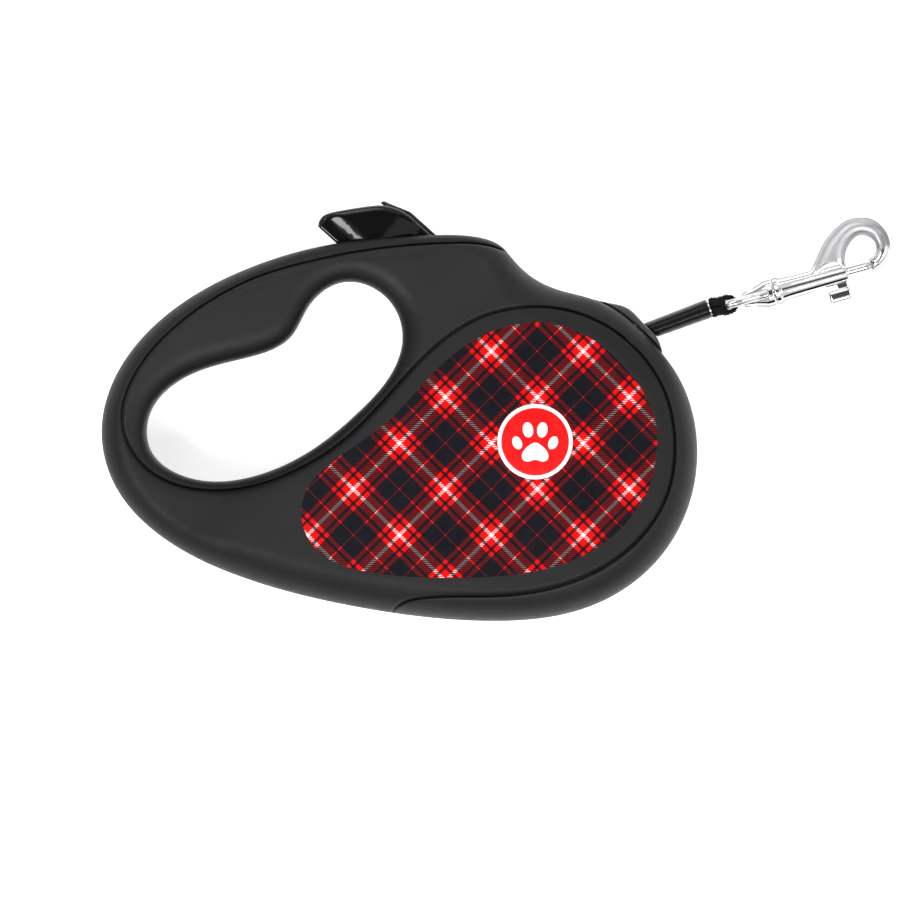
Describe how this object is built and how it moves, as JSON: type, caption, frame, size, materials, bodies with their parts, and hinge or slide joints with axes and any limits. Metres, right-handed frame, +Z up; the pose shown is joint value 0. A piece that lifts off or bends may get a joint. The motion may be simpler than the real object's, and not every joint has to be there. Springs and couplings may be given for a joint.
{
  "type": "retractable leash",
  "caption": "Retractable tape leash for small dogs: handle casing with spring-driven spool, brake button with lock slider, tape nozzle and swivel snap hook.",
  "frame": {"origin": "on the spool axis, in the flat face that the leash lies on", "axes": "+X from the handle towards the nozzle and hook, +Y from the belly towards the brake button, +Z up out of the resting face, along the spool axis"},
  "size_m": [0.2207, 0.1171, 0.0343],
  "materials": {
    "housing_black": "fine matte texture",
    "soft_touch_black": "soft touch, satin",
    "printed_label": "printed check pattern, semi gloss",
    "badge_red": "printed, semi gloss",
    "gloss_black": "polished",
    "slider_grey": "satin",
    "nozzle_grey": "satin",
    "sleeve_black": "polished tube",
    "spool_plastic": "moulded acetal",
    "steel": "plain",
    "screw_steel": "zinc plated",
    "spring_steel": "blued strip",
    "webbing": "woven polyester tape",
    "chrome": "bright plated zinc casting"
  },
  "bodies": {
    "housing": {"housing_front": "housing_black", "housing_back": "housing_black", "cover_front": "soft_touch_black", "cover_back": "soft_touch_black", "label_front": "printed_label", "label_back": "printed_label", "badge": "badge_red", "spool_axle": "steel", "nozzle": "nozzle_grey", "roller_axle": "steel", "lever_pin": "steel", "case_screws": "screw_steel", "tape_run": "webbing"},
    "spool": {"spool": "spool_plastic", "ratchet_flange": "spool_plastic", "spring_cover": "steel", "tape_wound": "webbing", "power_spring": "spring_steel"},
    "guide_roller": {"guide_roller": "spool_plastic"},
    "brake_button": {"brake_button": "gloss_black", "button_spring": "spring_steel"},
    "lock_slider": {"lock_slider": "slider_grey"},
    "brake_lever": {"brake_lever": "spool_plastic"},
    "leash_end": {"sleeve": "sleeve_black", "sleeve_rim": "steel", "webbing_loop": "webbing"},
    "swivel_eye": {"swivel_eye": "chrome", "swivel_rivet": "chrome"},
    "snap_hook": {"snap_casting": "chrome"},
    "gate_bolt": {"gate_bolt": "chrome", "gate_spring": "spring_steel"}
  },
  "joints": [
    {"name": "leash_pull", "type": "slide", "parent": "housing", "child": "leash_end", "axis": [0.9367, 0.3502, 0], "range_m": [0, 0.118], "stiffness_N_per_m": 12, "springref_m": -0.2, "deforming": ["tape_run"]},
    {"name": "spool_spin", "type": "hinge", "parent": "housing", "child": "spool", "pos_m": [0, 0, 0.017], "axis": [0, 0, 1], "range_deg": [-180, 0], "deforming": ["power_spring", "tape_wound"]},
    {"name": "roller_spin", "type": "hinge", "parent": "housing", "child": "guide_roller", "pos_m": [0.02617, 0.03785, 0.017], "axis": [0, 0, 1], "continuous": true},
    {"name": "brake_press", "type": "slide", "parent": "housing", "child": "brake_button", "axis": [0.7431, -0.6691, 0], "range_m": [0, 0.0045], "stiffness_N_per_m": 700, "springref_m": -0.004, "deforming": ["button_spring"]},
    {"name": "brake_lock", "type": "slide", "parent": "brake_button", "child": "lock_slider", "axis": [0.7431, -0.6691, 0], "range_m": [0, 0.003]},
    {"name": "pawl_swing", "type": "hinge", "parent": "housing", "child": "brake_lever", "pos_m": [-0.032, 0.038, 0.017], "axis": [0, 0, 1], "range_deg": [-16, 0]},
    {"name": "hook_swing", "type": "hinge", "parent": "leash_end", "child": "swivel_eye", "pos_m": [0.05278, 0.04407, 0.017], "axis": [0, 0, 1], "range_deg": [-45, 45]},
    {"name": "swivel_spin", "type": "hinge", "parent": "swivel_eye", "child": "snap_hook", "pos_m": [0.0655, 0.0476, 0.017], "axis": [0.9636, 0.2672, 0], "continuous": true},
    {"name": "gate_slide", "type": "slide", "parent": "snap_hook", "child": "gate_bolt", "axis": [-0.9636, -0.2672, 0], "range_m": [0, 0.0055], "stiffness_N_per_m": 500, "springref_m": -0.004, "deforming": ["gate_spring"]}
  ],
  "couplings": [
    {"joint": "spool_spin", "follows": "leash_pull", "rad_per_m": -26.601},
    {"joint": "pawl_swing", "follows": "brake_press", "rad_per_m": -61.919}
  ]
}
